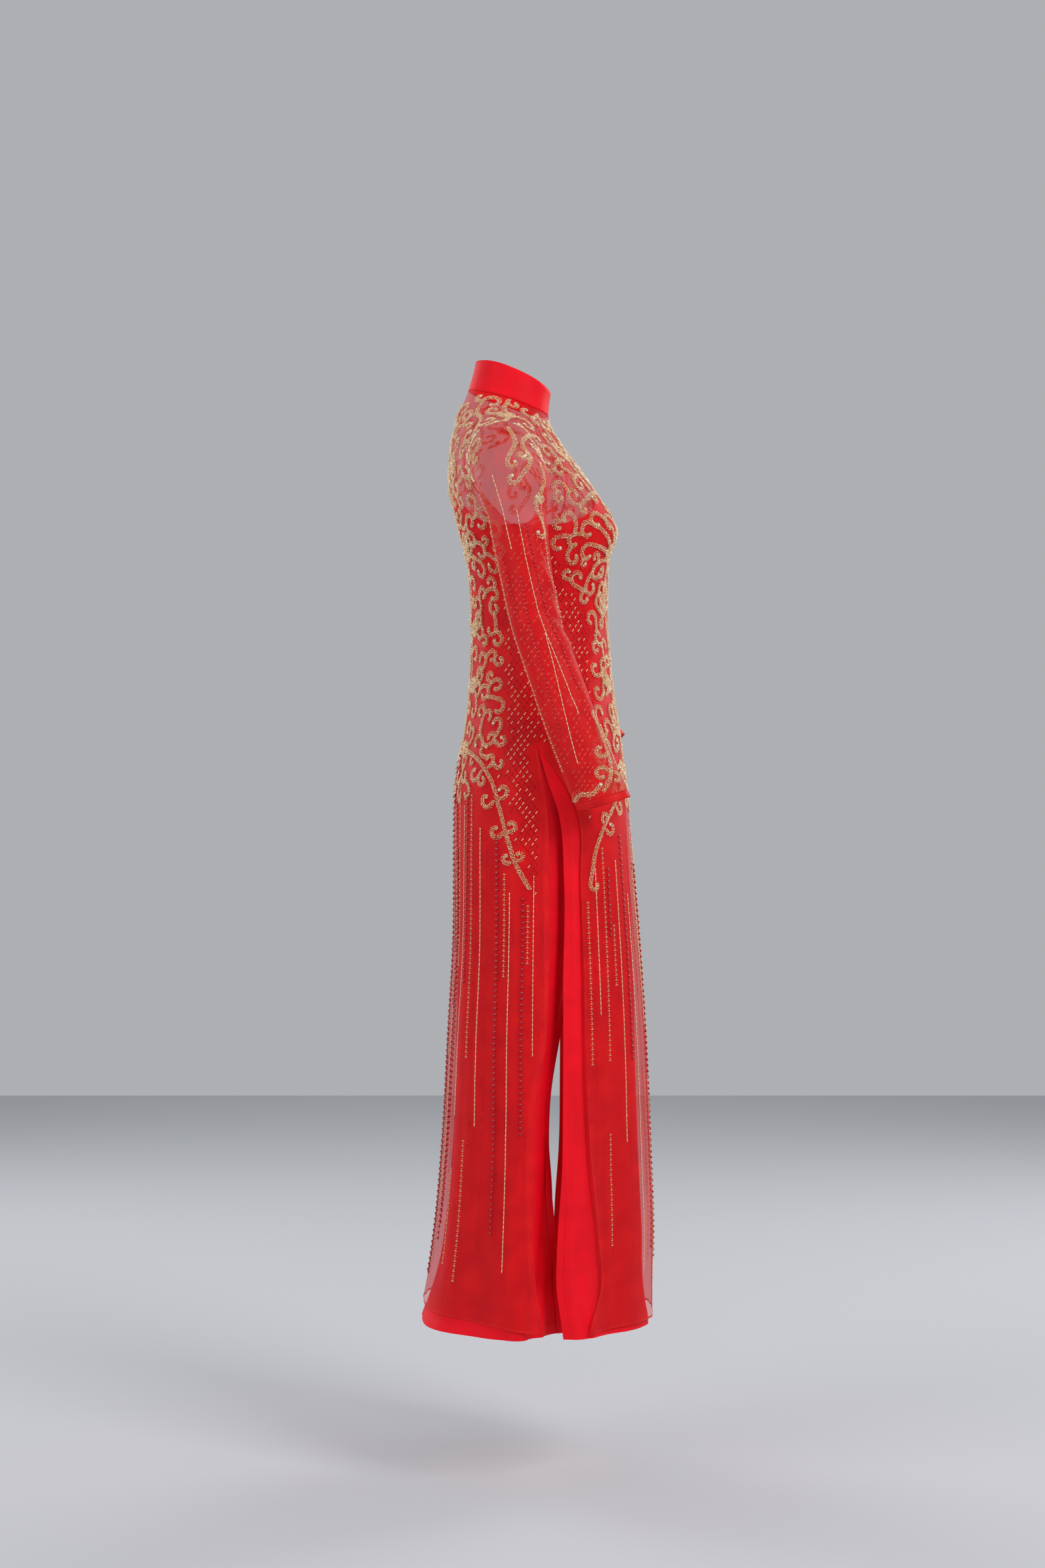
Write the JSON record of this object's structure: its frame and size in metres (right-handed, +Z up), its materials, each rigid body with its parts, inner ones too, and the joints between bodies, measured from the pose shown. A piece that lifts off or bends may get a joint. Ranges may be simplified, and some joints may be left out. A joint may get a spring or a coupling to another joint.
{
  "type": "ao dai tunic",
  "caption": "Long fitted tunic in worn, hollow form: sheer raglan sleeves, stand collar, front and back panels split at the sides over an opaque underlayer.",
  "frame": {"origin": "middle of the neck seam, where the wearer's neck and shoulders hold the tunic", "axes": "+Z up the wearer's body, the front faces -Y, the wearer's left is +X"},
  "size_m": [0.4734, 0.319, 1.3233],
  "materials": {
    "sheer_tulle": "sheer fine-mesh tulle, soft",
    "red_crepe": "smooth matte crepe",
    "gold_bead": "silver-lined glass bugle and seed beads, sparkling",
    "red_bead": "dark red cut glass beads",
    "crystal": "small clear crystals"
  },
  "bodies": {
    "root": {"front_panel": "sheer_tulle", "back_panel": "sheer_tulle", "front_underlayer": "red_crepe", "back_underlayer": "red_crepe", "sleeve_right": "sheer_tulle", "sleeve_left": "sheer_tulle", "wrist_band_right": "sheer_tulle", "wrist_band_left": "sheer_tulle", "collar": "red_crepe"}
  },
  "joints": []
}
